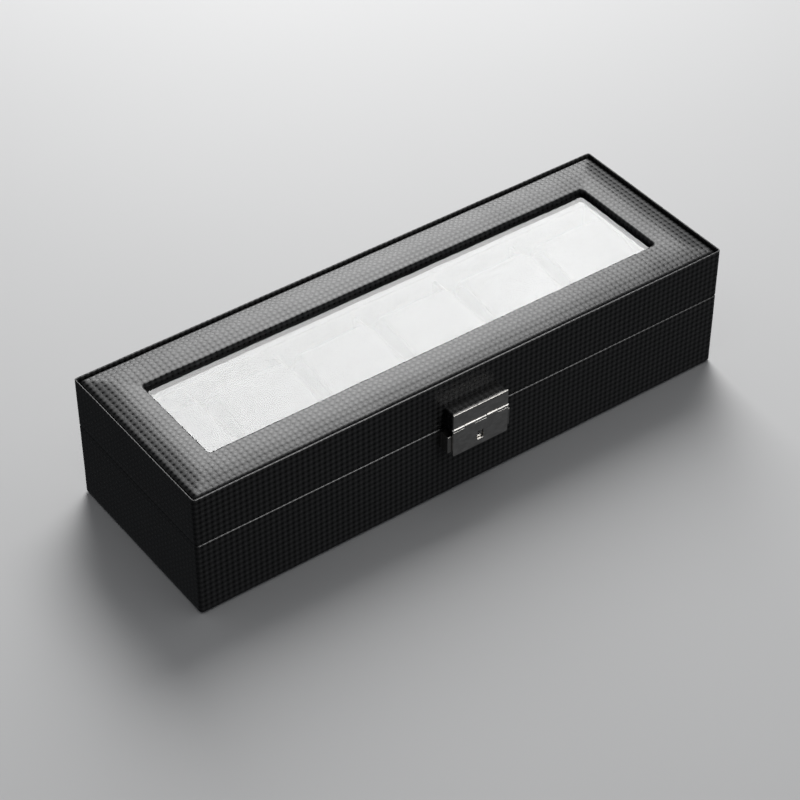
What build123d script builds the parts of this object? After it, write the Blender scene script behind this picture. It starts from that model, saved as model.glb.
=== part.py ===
"""A six-place watch box: a leather-wrapped case with a framed glass lid and a key-locked hasp.

Millimetres, +Z up. The origin is the middle of the bottom face. The front, with the lock, faces -Y.
"""

from build123d import *
import os
from math import radians, tan

# Case, outside
length = 310.0  # along X
width = 103.8  # along Y
base_height = 43.1  # bottom face to the middle of the seam
lid_height = 28.1  # middle of the seam to the top of the rim
seam_gap = 0.4  # between the two rims when closed
corner_radius = 1.6  # upright corners of the leather
edge_radius = 0.7  # long edges of the leather

# Walls, from the outside in
wrap = 0.8  # embossed leather
board = 6.0  # wall boards
lining = 1.0  # inner fabric
floor_board = 3.0
felt = 0.8  # sheet under the floor
felt_inset = 1.5  # felt's edge to the outer face
wrap_turn = 12.0  # leather turned in under the floor

# Lid top
window_border = 23.5  # outer face to the window
window_radius = 1.5
top_board = 3.0  # and the glass, which lies in it
pad_thickness = 3.2  # at its crown
pad_edge_radius = 2.2
pad_lip_radius = 1.2  # round the window
pad_groove = 0.5  # between the pad and the leather rim
rim_stand = 2.7  # leather rim above the top board
glass_bearing = 6.0  # glass between the pad and the spacer, on each side
spacer = 2.5
glass_clearance = 0.2
glass_corner_radius = 2.0

# Inside
slots = 6
divider = 2.4
divider_drop = 5.0  # rim of the base to the top of a divider
cushion_gap = 0.7  # cushion to divider
strap_gap = 6.4  # cushion to front and back, where a strap passes
watch_room = 8.0  # cushion to the lid's lining
cushion_slope = 10.0  # degrees, falling to the front
cushion_corner_radius = 15.0
cushion_side_radius = 4.0

# Rear hinges
hinge_inset = 55.0  # end of the case to the middle of a hinge
hinge_length = 26.0
hinge_leaf = 1.0
hinge_leaf_depth = 5.6
hinge_barrel_radius = 2.0
hinge_barrel_gap = 0.25  # barrel to the rear face
hinge_pin_radius = 0.9
hinge_knuckles = 3
hinge_screw_spacing = 15.0
hinge_screw_radius = 0.9
hinge_screw_head_radius = 1.6
hinge_screw_length = 8.0

# Latch block, on the lid
block_width = 32.5
block_depth = 6.3
block_above_seam = 1.5
block_height = 10.4
block_screw_spacing = 16.0
block_screw_radius = 1.1
block_screw_head_radius = 2.0
block_screw_length = 11.0

# Hasp
hasp_plate = 1.0
hasp_axis_above_seam = 2.4
hasp_leaf_height = 9.5  # axis to the leaf's top edge
hasp_flap_length = 15.9  # axis to the flap's bottom edge
hasp_barrel_radius = 1.1
hasp_pin_radius = 0.5
hasp_knuckles = 5
hasp_corner_radius = 0.8
stud_spacing = 24.0
stud_radius = 1.0
stud_length = 4.0
keyhole_width = 4.0
keyhole_height = 5.2
keyhole_radius = 0.6

# Lock, on the base
case_width = 37.0
case_depth = 5.2
case_back_plate = 0.8
case_below_seam = 1.5  # seam to the case's top
case_height = 9.9
case_wall = 0.8
case_edge_radius = 0.4
chamber_width = 11.2
lock_below_seam = 7.5  # seam to the plug's axis
plug_radius = 1.7
collar_radius = 2.3
collar = 0.7
spindle_radius = 1.1
keyway_width = 0.7
keyway_height = 2.4
keyway_depth = 2.0
cam = 1.2
cam_hub_radius = 2.0
cam_arm_width = 1.8
cam_arm_reach = 4.9
clip = 0.6
clip_radius = 1.9
hook = 1.2
hook_offset = 3.6  # plug's axis to the middle of the hook
hook_prong = 1.0
hook_web = 0.7  # steel under the notch
hook_rise = 2.5  # plug's axis to the hook's top
lock_screw_spacing = 24.0
lock_screw_radius = 1.1
lock_screw_head_radius = 2.0
lock_screw_length = 10.0

# Clearances
running_fit = 0.03  # on the radius, pin in knuckle and plug in bore
knuckle_gap = 0.15
moving_gap = 0.3  # between pieces that pass each other
notch_gap = 0.2  # cam to hook
recess = 0.4  # screw driver slots
recess_width = 0.5

# Worked out: outside and walls
half_length = length / 2
half_width = width / 2
wall = wrap + board + lining
inner_length = length - 2 * wall
inner_width = width - 2 * wall
board_line_x = half_length - wrap  # outer faces of the boards
board_line_y = half_width - wrap
lining_line_x = board_line_x - board  # inner faces of the boards
lining_line_y = board_line_y - board
seam = base_height
base_rim = seam - seam_gap / 2
lid_rim = seam + seam_gap / 2
base_board_low = felt + wrap
base_board_high = base_rim - wrap
floor_high = base_board_low + floor_board
base_inside_low = floor_high + lining
lid_board_low = lid_rim + wrap
rim_high = seam + lid_height
top_board_high = rim_high - rim_stand
top_board_low = top_board_high - top_board
spacer_low = top_board_low - spacer
lid_inside_high = spacer_low - lining
window_length = length - 2 * window_border
window_width = width - 2 * window_border

# Worked out: inside
slot_length = (inner_length - (slots - 1) * divider) / slots
slot_pitch = slot_length + divider
cushion_length = slot_length - 2 * cushion_gap
cushion_depth = inner_width - 2 * strap_gap
cushion_back_high = lid_inside_high - watch_room
cushion_front_high = cushion_back_high - cushion_depth * tan(radians(cushion_slope))

# Worked out: hinges
hinge_y = half_width + hinge_barrel_gap + hinge_barrel_radius
hinge_places = {"left": hinge_inset - half_length, "right": half_length - hinge_inset}
hinge_screw_y = board_line_y - board / 2

# Worked out: latch and lock
block_low = seam + block_above_seam
block_high = block_low + block_height
block_front = -half_width - block_depth
hasp_y = block_front - hasp_plate / 2
hasp_z = seam + hasp_axis_above_seam
hasp_leaf_high = hasp_z + hasp_leaf_height
hasp_flap_low = hasp_z - hasp_flap_length
case_high = seam - case_below_seam
case_low = case_high - case_height
case_back = -half_width - case_back_plate
case_front = case_back - case_depth
chamber_low = case_low + case_wall
lock_z = seam - lock_below_seam
collar_front = case_front + case_wall + knuckle_gap
cam_front = collar_front + collar
cam_back = cam_front + cam
hook_low = lock_z - cam_arm_width / 2 - moving_gap - hook_web

CENTRED_BELOW = (Align.CENTER, Align.CENTER, Align.MAX)
CENTRED_ABOVE = (Align.CENTER, Align.CENTER, Align.MIN)


def save(piece, name):
    """Label a finished piece and write it."""
    piece.part.label = name
    export_step(piece.part, f"parts/{name}.step")


def block_between(low, high, mode=Mode.ADD):
    """A block from its low corner to its high corner, in the part being built."""
    with Locations(Vector(*low)):
        Box(*(Vector(*high) - Vector(*low)), align=(Align.MIN, Align.MIN, Align.MIN), mode=mode)


def facing(point, direction):
    """A plane at a point whose Z looks along a direction."""
    return Plane(origin=point, z_dir=direction)


def bars_along_x(spans, y, z, radius, mode=Mode.ADD):
    """Round bars along X, one for each span, in the part being built."""
    for start, end in spans:
        with Locations(facing((start, y, z), (1, 0, 0))):
            Cylinder(radius, end - start, align=CENTRED_ABOVE, mode=mode)


def knuckle_spans(middle, total, count):
    """The stretches of a hinge barrel that its knuckles take, from -X to +X."""
    pitch = (total + knuckle_gap) / count
    start = middle - total / 2
    return [(start + i * pitch, start + (i + 1) * pitch - knuckle_gap) for i in range(count)]


def drill(planes, radius, depth):
    """Plain holes from each plane inwards, in the part being built."""
    with Locations(*planes):
        Cylinder(radius, depth, align=CENTRED_BELOW, mode=Mode.SUBTRACT)


def countersink(planes, radius, head_radius):
    """The conical seats of countersunk heads, in the part being built."""
    with Locations(*planes):
        Cone(radius, head_radius, head_radius - radius, align=CENTRED_BELOW, mode=Mode.SUBTRACT)


def countersunk_screws(planes, radius, head_radius, screw_length):
    """Cross-recessed countersunk screws, one on each plane, as separate solids."""
    with BuildPart(*planes) as screws:
        Cylinder(radius, screw_length, align=CENTRED_BELOW)
        Cone(radius, head_radius, head_radius - radius, align=CENTRED_BELOW)
        Box(2 * radius, recess_width, recess, align=CENTRED_BELOW, mode=Mode.SUBTRACT)
        Box(recess_width, 2 * radius, recess, align=CENTRED_BELOW, mode=Mode.SUBTRACT)
    return screws


# Screws that hold the hinge leaves, the lock case and the latch block
hinge_screw_places = [
    (middle + side * hinge_screw_spacing / 2, hinge_screw_y)
    for middle in hinge_places.values()
    for side in (-1, 1)
]
base_hinge_screws = [facing((x, y, base_rim), (0, 0, 1)) for x, y in hinge_screw_places]
lid_hinge_screws = [facing((x, y, lid_rim), (0, 0, -1)) for x, y in hinge_screw_places]
lock_screw_z = (case_low + case_high) / 2
lock_screws = [
    facing((side * lock_screw_spacing / 2, case_front, lock_screw_z), (0, -1, 0)) for side in (-1, 1)
]
block_screw_z = (block_low + block_high) / 2
block_screws = [
    facing((side * block_screw_spacing / 2, -lining_line_y, block_screw_z), (0, 1, 0))
    for side in (-1, 1)
]
stud_z = (hasp_z + hasp_leaf_high) / 2 + hasp_barrel_radius
studs = [facing((side * stud_spacing / 2, block_front, stud_z), (0, -1, 0)) for side in (-1, 1)]


def hinge_pockets(low, high):
    """Cut the seats of both hinge leaves out of the rim of the part being built."""
    for middle in hinge_places.values():
        block_between(
            (middle - hinge_length / 2, half_width - hinge_leaf_depth, low),
            (middle + hinge_length / 2, half_width, high),
            mode=Mode.SUBTRACT,
        )


os.makedirs("parts", exist_ok=True)

# ---------------------------------------------------------------- base: case

with BuildPart() as bottom_felt:
    with BuildSketch():
        RectangleRounded(length - 2 * felt_inset, width - 2 * felt_inset, corner_radius)
    extrude(amount=felt)
save(bottom_felt, "bottom_felt")

with BuildPart() as base_wrap:
    with BuildSketch(Plane.XY.offset(felt)):
        RectangleRounded(length, width, corner_radius)
    extrude(amount=base_rim - felt)
    fillet(base_wrap.faces().sort_by(Axis.Z)[-1].edges(), edge_radius)
    fillet(base_wrap.faces().sort_by(Axis.Z)[0].edges(), edge_radius)
    with BuildSketch(Plane.XY.offset(base_board_low)):
        Rectangle(2 * board_line_x, 2 * board_line_y)
    extrude(amount=base_board_high - base_board_low, mode=Mode.SUBTRACT)
    with BuildSketch(Plane.XY.offset(base_board_high)):
        Rectangle(inner_length, inner_width)
    extrude(amount=wrap, mode=Mode.SUBTRACT)
    with BuildSketch(Plane.XY.offset(felt)):
        Rectangle(length - 2 * wrap_turn, width - 2 * wrap_turn)
    extrude(amount=wrap, mode=Mode.SUBTRACT)
    hinge_pockets(base_rim - hinge_leaf, base_rim)
    drill(lock_screws, lock_screw_radius, lock_screw_length)
save(base_wrap, "base_wrap")

with BuildPart() as base_front_board:
    block_between(
        (-board_line_x, -board_line_y, base_board_low), (board_line_x, -lining_line_y, base_board_high)
    )
    drill(lock_screws, lock_screw_radius, lock_screw_length)
save(base_front_board, "base_front_board")

with BuildPart() as base_back_board:
    block_between(
        (-board_line_x, lining_line_y, base_board_low), (board_line_x, board_line_y, base_board_high)
    )
    hinge_pockets(base_rim - hinge_leaf, base_rim)
    drill(base_hinge_screws, hinge_screw_radius, hinge_screw_length)
save(base_back_board, "base_back_board")

for name, side in (("left", -1), ("right", 1)):
    inner, outer = sorted((side * lining_line_x, side * board_line_x))
    with BuildPart() as end_board:
        block_between(
            (inner, -lining_line_y, base_board_low), (outer, lining_line_y, base_board_high)
        )
    save(end_board, f"base_{name}_board")
    with BuildPart() as end_board:
        block_between((inner, -lining_line_y, lid_board_low), (outer, lining_line_y, top_board_low))
    save(end_board, f"lid_{name}_board")

with BuildPart() as base_floor_board:
    with BuildSketch(Plane.XY.offset(base_board_low)):
        Rectangle(2 * lining_line_x, 2 * lining_line_y)
    extrude(amount=floor_board)
save(base_floor_board, "base_floor_board")

with BuildPart() as base_lining:
    with BuildSketch(Plane.XY.offset(floor_high)):
        Rectangle(2 * lining_line_x, 2 * lining_line_y)
    extrude(amount=base_board_high - floor_high)
    with BuildSketch(Plane.XY.offset(base_inside_low)):
        Rectangle(inner_length, inner_width)
    extrude(amount=base_board_high - base_inside_low, mode=Mode.SUBTRACT)
save(base_lining, "base_lining")

for number in range(1, slots):
    divider_x = -inner_length / 2 + number * slot_pitch - divider / 2
    with BuildPart() as divider_panel:
        with BuildSketch(Plane.XY.offset(base_inside_low)):
            with Locations((divider_x, 0)):
                Rectangle(divider, inner_width)
        extrude(amount=base_rim - divider_drop - base_inside_low)
        top_edges = divider_panel.faces().sort_by(Axis.Z)[-1].edges().filter_by(Axis.Y)
        fillet(top_edges, divider / 3)
    save(divider_panel, f"divider_{number}")

# ---------------------------------------------------------------- cushions


def watch_cushion(middle):
    """A cushion whose rounded top falls towards the front, standing in the slot at x = middle."""
    back = cushion_depth / 2
    corners = [
        (-back, base_inside_low),
        (back, base_inside_low),
        (back, cushion_back_high),
        (-back, cushion_front_high),
    ]
    with BuildPart() as cushion:
        with BuildSketch(Plane.YZ.offset(middle)) as section:
            with BuildLine():
                Polyline(*corners, close=True)
            make_face()
            fillet(section.vertices(), cushion_corner_radius)
        extrude(amount=cushion_length / 2, both=True)
        fillet(cushion.faces().filter_by(Axis.X).edges(), cushion_side_radius)
    return cushion


for number in range(1, slots + 1):
    cushion_x = -inner_length / 2 + (number - 1) * slot_pitch + slot_length / 2
    save(watch_cushion(cushion_x), f"cushion_{number}")

# ---------------------------------------------------------------- lid: case

with BuildPart() as lid_wrap:
    with BuildSketch(Plane.XY.offset(lid_rim)):
        RectangleRounded(length, width, corner_radius)
    extrude(amount=rim_high - lid_rim)
    fillet(lid_wrap.faces().sort_by(Axis.Z)[0].edges(), edge_radius)
    with BuildSketch(Plane.XY.offset(lid_board_low)):
        Rectangle(2 * board_line_x, 2 * board_line_y)
    extrude(amount=rim_high - lid_board_low, mode=Mode.SUBTRACT)
    with BuildSketch(Plane.XY.offset(lid_rim)):
        Rectangle(inner_length, inner_width)
    extrude(amount=wrap, mode=Mode.SUBTRACT)
    fillet(lid_wrap.faces().sort_by(Axis.Z)[-1].outer_wire().edges(), wrap / 2)
    hinge_pockets(lid_rim, lid_rim + hinge_leaf)
    drill(block_screws, block_screw_radius, block_screw_length)
save(lid_wrap, "lid_wrap")

with BuildPart() as lid_front_board:
    block_between(
        (-board_line_x, -board_line_y, lid_board_low), (board_line_x, -lining_line_y, top_board_low)
    )
    drill(block_screws, block_screw_radius, block_screw_length)
    countersink(block_screws, block_screw_radius, block_screw_head_radius)
save(lid_front_board, "lid_front_board")

with BuildPart() as lid_back_board:
    block_between(
        (-board_line_x, lining_line_y, lid_board_low), (board_line_x, board_line_y, top_board_low)
    )
    hinge_pockets(lid_rim, lid_rim + hinge_leaf)
    drill(lid_hinge_screws, hinge_screw_radius, hinge_screw_length)
save(lid_back_board, "lid_back_board")

with BuildPart() as lid_top_board:
    with BuildSketch(Plane.XY.offset(top_board_low)):
        Rectangle(2 * board_line_x, 2 * board_line_y)
        RectangleRounded(
            window_length + 2 * (glass_bearing + glass_clearance),
            window_width + 2 * (glass_bearing + glass_clearance),
            glass_corner_radius,
            mode=Mode.SUBTRACT,
        )
    extrude(amount=top_board)
save(lid_top_board, "lid_top_board")

with BuildPart() as lid_pad:
    with BuildSketch(Plane.XY.offset(top_board_high)):
        RectangleRounded(
            2 * (board_line_x - pad_groove), 2 * (board_line_y - pad_groove), corner_radius
        )
        RectangleRounded(window_length, window_width, window_radius, mode=Mode.SUBTRACT)
    extrude(amount=pad_thickness)
    crown = lid_pad.faces().sort_by(Axis.Z)[-1]
    fillet(crown.outer_wire().edges(), pad_edge_radius)
    fillet(lid_pad.faces().sort_by(Axis.Z)[-1].inner_wires()[0].edges(), pad_lip_radius)
save(lid_pad, "lid_pad")

with BuildPart() as glass_pane:
    with BuildSketch(Plane.XY.offset(top_board_low)):
        RectangleRounded(
            window_length + 2 * glass_bearing, window_width + 2 * glass_bearing, glass_corner_radius
        )
    extrude(amount=top_board)
save(glass_pane, "glass_pane")

with BuildPart() as glass_spacer:
    with BuildSketch(Plane.XY.offset(spacer_low)):
        Rectangle(2 * lining_line_x, 2 * lining_line_y)
        RectangleRounded(
            window_length + 2 * lining,
            window_width + 2 * lining,
            window_radius + lining,
            mode=Mode.SUBTRACT,
        )
    extrude(amount=spacer)
save(glass_spacer, "glass_spacer")

with BuildPart() as lid_lining:
    with BuildSketch(Plane.XY.offset(lid_board_low)):
        Rectangle(2 * lining_line_x, 2 * lining_line_y)
    extrude(amount=spacer_low - lid_board_low)
    with BuildSketch(Plane.XY.offset(lid_board_low)):
        Rectangle(inner_length, inner_width)
    extrude(amount=lid_inside_high - lid_board_low, mode=Mode.SUBTRACT)
    with BuildSketch(Plane.XY.offset(spacer_low)):
        RectangleRounded(window_length + 2 * lining, window_width + 2 * lining, window_radius + lining)
    extrude(amount=spacer)
    with BuildSketch(Plane.XY.offset(lid_inside_high)):
        RectangleRounded(window_length, window_width, window_radius)
    extrude(amount=lining + spacer, mode=Mode.SUBTRACT)
save(lid_lining, "lid_lining")

# ---------------------------------------------------------------- rear hinges


def hinge_leaf_with_knuckles(middle, rim, up, own, screws):
    """One leaf: a plate sunk in its rim, reaching out to the knuckles that are its own.

    up is 1 for a leaf whose plate lies above the rim line, and -1 for one below it."""
    low, high = sorted((rim, rim + up * hinge_leaf))
    spans = knuckle_spans(middle, hinge_length, hinge_knuckles)
    with BuildPart() as leaf:
        block_between(
            (middle - hinge_length / 2, half_width - hinge_leaf_depth, low),
            (middle + hinge_length / 2, half_width, high),
        )
        for start, end in spans[own::2]:
            block_between((start, half_width, low), (end, hinge_y, high))
        bars_along_x(spans[own::2], hinge_y, seam, hinge_barrel_radius)
        bore = [(spans[0][0], spans[-1][1])]
        bars_along_x(bore, hinge_y, seam, hinge_pin_radius + running_fit, mode=Mode.SUBTRACT)
        own_screws = [s for s in screws if abs(s.origin.X - middle) < hinge_length / 2]
        drill(own_screws, hinge_screw_radius, hinge_leaf)
        countersink(own_screws, hinge_screw_radius, hinge_screw_head_radius)
    return leaf


for name, middle in hinge_places.items():
    base_leaf = hinge_leaf_with_knuckles(middle, base_rim, -1, 0, base_hinge_screws)
    save(base_leaf, f"hinge_base_leaf_{name}")
    lid_leaf = hinge_leaf_with_knuckles(middle, lid_rim, 1, 1, lid_hinge_screws)
    save(lid_leaf, f"hinge_lid_leaf_{name}")
    with BuildPart() as hinge_pin:
        end = hinge_length / 2
        head = hinge_pin_radius / 2
        bars_along_x([(middle - end, middle + end)], hinge_y, seam, hinge_pin_radius)
        heads = [(middle - end - head, middle - end), (middle + end, middle + end + head)]
        bars_along_x(heads, hinge_y, seam, (hinge_pin_radius + hinge_barrel_radius) / 2)
    save(hinge_pin, f"hinge_pin_{name}")

hinge_base_screws = countersunk_screws(
    base_hinge_screws, hinge_screw_radius, hinge_screw_head_radius, hinge_screw_length
)
save(hinge_base_screws, "hinge_base_screws")
hinge_lid_screws = countersunk_screws(
    lid_hinge_screws, hinge_screw_radius, hinge_screw_head_radius, hinge_screw_length
)
save(hinge_lid_screws, "hinge_lid_screws")

# ---------------------------------------------------------------- latch block

barrel_room = [(-block_width / 2, block_width / 2)]

with BuildPart() as latch_block:
    block_between(
        (-block_width / 2 + wrap, block_front, block_low + wrap),
        (block_width / 2 - wrap, -half_width, block_high - wrap),
    )
    bars_along_x(barrel_room, hasp_y, hasp_z, hasp_barrel_radius + moving_gap, mode=Mode.SUBTRACT)
    drill(block_screws, block_screw_radius, block_screw_length)
    drill(studs, stud_radius, stud_length)
save(latch_block, "latch_block")

with BuildPart() as latch_block_wrap:
    block_between(
        (-block_width / 2, block_front, block_low), (block_width / 2, -half_width, block_high)
    )
    fillet(latch_block_wrap.edges().filter_by(Axis.Y), edge_radius)
    block_between(
        (-block_width / 2 + wrap, block_front, block_low + wrap),
        (block_width / 2 - wrap, -half_width, block_high - wrap),
        mode=Mode.SUBTRACT,
    )
    bars_along_x(barrel_room, hasp_y, hasp_z, hasp_barrel_radius + moving_gap, mode=Mode.SUBTRACT)
save(latch_block_wrap, "latch_block_wrap")

latch_block_screws = countersunk_screws(
    block_screws, block_screw_radius, block_screw_head_radius, block_screw_length
)
save(latch_block_screws, "latch_block_screws")

# ---------------------------------------------------------------- hasp

hasp_spans = knuckle_spans(0, block_width, hasp_knuckles)
hasp_bore = [(hasp_spans[0][0], hasp_spans[-1][1])]
hasp_back = block_front
hasp_front = block_front - hasp_plate


def hasp_plate_with_knuckles(low, high, own):
    """A hasp plate between two heights, notched for the other plate's knuckles."""
    clear = hasp_barrel_radius + knuckle_gap
    with BuildPart() as plate:
        block_between((-block_width / 2, hasp_front, low), (block_width / 2, hasp_back, high))
        for start, end in hasp_spans[1 - own :: 2]:
            block_between(
                (start - knuckle_gap, hasp_front, hasp_z - clear),
                (end + knuckle_gap, hasp_back, hasp_z + clear),
                mode=Mode.SUBTRACT,
            )
        bars_along_x(hasp_spans[own::2], hasp_y, hasp_z, hasp_barrel_radius)
        pin_bore = hasp_pin_radius + running_fit
        bars_along_x(hasp_bore, hasp_y, hasp_z, pin_bore, mode=Mode.SUBTRACT)
    return plate.part


with BuildPart() as hasp_leaf:
    add(hasp_plate_with_knuckles(hasp_z, hasp_leaf_high, 0))
    with Locations(*studs):
        Cylinder(stud_radius, stud_length, align=CENTRED_BELOW)
save(hasp_leaf, "hasp_leaf")

with BuildPart() as hasp_pin:
    bars_along_x(hasp_bore, hasp_y, hasp_z, hasp_pin_radius)
    start, end = hasp_bore[0]
    pin_heads = [(start - hasp_pin_radius, start), (end, end + hasp_pin_radius)]
    bars_along_x(pin_heads, hasp_y, hasp_z, (hasp_pin_radius + hasp_barrel_radius) / 2)
save(hasp_pin, "hasp_pin")

with BuildPart() as hasp_flap:
    add(hasp_plate_with_knuckles(hasp_flap_low, hasp_z, 1))
    corners = hasp_flap.edges().filter_by(Axis.Y).group_by(Axis.Z)[0]
    fillet(corners, hasp_corner_radius)
    with BuildSketch(Plane.XZ.offset(-hasp_back)):
        with Locations((0, lock_z)):
            RectangleRounded(keyhole_width, keyhole_height, keyhole_radius)
    extrude(amount=hasp_plate, mode=Mode.SUBTRACT)
save(hasp_flap, "hasp_flap")

with BuildPart() as hasp_hook:
    notch_front = cam_front - notch_gap
    notch_back = cam_back + notch_gap
    hook_high = lock_z + hook_rise
    with BuildSketch(Plane.YZ.offset(hook_offset)):
        with BuildLine():
            Polyline(
                (hasp_back, hook_low),
                (notch_back + hook_prong, hook_low),
                (notch_back + hook_prong, hook_high),
                (notch_back, hook_high),
                (notch_back, hook_low + hook_web),
                (notch_front, hook_low + hook_web),
                (notch_front, hook_high),
                (hasp_back, hook_high),
                close=True,
            )
        make_face()
    extrude(amount=hook / 2, both=True)
save(hasp_hook, "hasp_hook")

# ---------------------------------------------------------------- lock

with BuildPart() as lock_case:
    block_between(
        (-case_width / 2, case_front, case_low), (case_width / 2, case_back, case_high)
    )
    front_edges = lock_case.faces().sort_by(Axis.Y)[0].edges()
    fillet(front_edges, case_edge_radius)
    block_between(
        (-chamber_width / 2, case_front + case_wall, chamber_low),
        (chamber_width / 2, case_back, case_high),
        mode=Mode.SUBTRACT,
    )
    block_between(
        (hook_offset - hook / 2 - moving_gap, case_front, chamber_low),
        (hook_offset + hook / 2 + moving_gap, case_front + case_wall, case_high),
        mode=Mode.SUBTRACT,
    )
    drill([facing((0, case_front, lock_z), (0, -1, 0))], plug_radius + running_fit, case_wall)
    drill(lock_screws, lock_screw_radius, case_depth)
    countersink(lock_screws, lock_screw_radius, lock_screw_head_radius)
save(lock_case, "lock_case")

with BuildPart() as lock_back_plate:
    block_between(
        (-case_width / 2, case_back, case_low), (case_width / 2, -half_width, case_high)
    )
    drill(lock_screws, lock_screw_radius, lock_screw_length)
    spindle_bore = spindle_radius + running_fit
    drill([facing((0, case_back, lock_z), (0, -1, 0))], spindle_bore, case_back_plate)
save(lock_back_plate, "lock_back_plate")

lock_case_screws = countersunk_screws(
    lock_screws, lock_screw_radius, lock_screw_head_radius, lock_screw_length
)
save(lock_case_screws, "lock_case_screws")

with BuildPart() as lock_plug:
    with Locations(facing((0, case_front, lock_z), (0, -1, 0))):
        Cylinder(plug_radius, collar_front - case_front, align=CENTRED_BELOW)
    with Locations(facing((0, collar_front, lock_z), (0, -1, 0))):
        Cylinder(collar_radius, collar, align=CENTRED_BELOW)
    with Locations(facing((0, cam_front, lock_z), (0, -1, 0))):
        Cylinder(spindle_radius, case_back - cam_front + case_back_plate / 2, align=CENTRED_BELOW)
    block_between(
        (-keyway_width / 2, case_front, lock_z - keyway_height / 2),
        (keyway_width / 2, case_front + keyway_depth, lock_z + keyway_height / 2),
        mode=Mode.SUBTRACT,
    )
save(lock_plug, "lock_plug")

with BuildPart() as lock_cam:
    with BuildSketch(Plane.XZ.offset(-cam_back)):
        with Locations((0, lock_z)):
            Circle(cam_hub_radius)
            Rectangle(cam_arm_width, cam_arm_reach, align=(Align.CENTER, Align.MIN))
            Circle(spindle_radius, mode=Mode.SUBTRACT)
    extrude(amount=cam)
save(lock_cam, "lock_cam")

with BuildPart() as lock_clip:
    with BuildSketch(Plane.XZ.offset(-cam_back - clip)):
        with Locations((0, lock_z)):
            Circle(clip_radius)
            Circle(spindle_radius, mode=Mode.SUBTRACT)
            Rectangle(spindle_radius, clip_radius, align=(Align.CENTER, Align.MAX), mode=Mode.SUBTRACT)
    extrude(amount=clip)
save(lock_clip, "lock_clip")
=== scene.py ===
"""Looks of a six-place watch box in embossed black leather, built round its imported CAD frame. Metres."""

import math

import bmesh
import bpy
from mathutils import Matrix, Vector, noise
from mathutils.bvhtree import BVHTree


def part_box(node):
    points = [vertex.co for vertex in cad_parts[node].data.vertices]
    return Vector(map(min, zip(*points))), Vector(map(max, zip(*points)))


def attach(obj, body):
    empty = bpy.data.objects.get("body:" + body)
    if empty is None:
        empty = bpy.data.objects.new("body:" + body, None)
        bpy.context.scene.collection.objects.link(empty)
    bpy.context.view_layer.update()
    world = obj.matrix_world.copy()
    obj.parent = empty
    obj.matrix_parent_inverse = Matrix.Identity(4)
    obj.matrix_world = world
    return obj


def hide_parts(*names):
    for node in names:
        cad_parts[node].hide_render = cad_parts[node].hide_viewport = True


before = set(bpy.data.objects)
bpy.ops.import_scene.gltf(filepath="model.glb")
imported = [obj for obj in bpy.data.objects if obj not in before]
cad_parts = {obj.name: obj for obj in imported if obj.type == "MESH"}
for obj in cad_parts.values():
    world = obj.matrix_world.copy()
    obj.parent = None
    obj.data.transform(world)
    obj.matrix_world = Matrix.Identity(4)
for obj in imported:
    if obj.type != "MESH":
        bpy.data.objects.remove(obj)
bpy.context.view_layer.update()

MM = 0.001
UP = Vector((0, 0, 1))

# Blender seeds its noise from the clock, and a fixed seed gives the same dents in each run
NOISE_SEED = 1
noise.seed_set(NOISE_SEED)

# The photograph's view: where the camera stands round the object, in degrees and metres
VIEW_AZIMUTH = -36.04
VIEW_ELEVATION = 40.8
VIEW_DISTANCE = 1.2491
VIEW_RIGHT = -0.0035
VIEW_UP = 0.01183
LENS = 112.5
SENSOR = 36.0

# Leather
EMBOSS_PITCH = 3.07 * MM
EMBOSS_HEIGHT = 0.025 * MM
PIT_DEPTH = 0.035 * MM
GRAIN_HEIGHT = 0.03 * MM

# Case: leather, board and lining together make the wall
WALL = 7.8 * MM
WRAP = 0.8 * MM
RIM_ROUND = 0.8 * MM
INNER_RIM_ROUND = 0.5 * MM
RIM_EDGE = 0.3 * MM
CORNER_ROUND = 1.9 * MM
LEAST_ROUND = 0.3 * MM
TURN_IN = 12.0 * MM
HINGE_LEAF = 1.0 * MM
SEAT_SLACK = 0.05 * MM
BLOCK_ROUND = 1.2 * MM
BLOCK_FRONT_ROUND = 0.35 * MM

# Padded window frame: a shoulder beside the groove, a long roll up to the crown, a slight fall
# towards the window, and a lip rolling down to the glass
GLASS_BEARING = 6.0 * MM
WINDOW_CORNER = 1.5 * MM
PAD_ROLL = 12.5 * MM
PAD_CROWN = 1.1 * MM
PAD_SET_IN = 0.5 * MM
PAD_SHOULDER = 2.5 * MM
PAD_DROP = 1.85 * MM
PAD_FALL = 0.35 * MM
PAD_LIP = 1.5 * MM
LIP_DROP = 1.2 * MM
LIP_FOOT_ROUND = 0.3 * MM

# Cushions
SEAM_INSET = 1.9 * MM
SECTION_INSET = 3.2 * MM
SECTION_CORNER = 15.0 * MM
CUSHION_SLOPE = math.radians(10.0)
VOXEL = 2.6 * MM
SWELL_CAP = 4.5 * MM
BACK_RISE = 1.6 * MM
CORNER_STEPS = 8
DENT_SIZE = 19.0 * MM
DENT_DEPTH = Vector((0.25, 0.8, 0.8)) * MM
SIDE_ROOM = 0.45 * MM
PIPING_RADIUS = 0.85 * MM
PIPING_POINTS = 96
PIPING_SIDES = 8
CLOTH_FRAMES = 20

# Studio: sizes and distances in metres
SOFTBOX_SIZE = (0.63, 1.25)
SOFTBOX_DISTANCE = 1.25
SOFTBOX_RADIANCE = 7.0
SOFTBOX_SHIFT = -0.02
EDGE_LIGHT_SIZE = (0.32, 0.8)
EDGE_LIGHT_DISTANCE = 0.9
EDGE_LIGHT_X = -0.10
LEATHER_EDGE_RADIANCE = 8.0
METAL_EDGE_RADIANCE = 2.8
OVERHEAD_SIZE = (2.4, 2.4)
OVERHEAD_HEIGHT = 1.6
OVERHEAD_RADIANCE = 0.35
FLOOR_HALF = 6.0
ACROSS = (1.0, 0.0, 0.0)


# ------------------------------------------------------------------ materials


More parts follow.
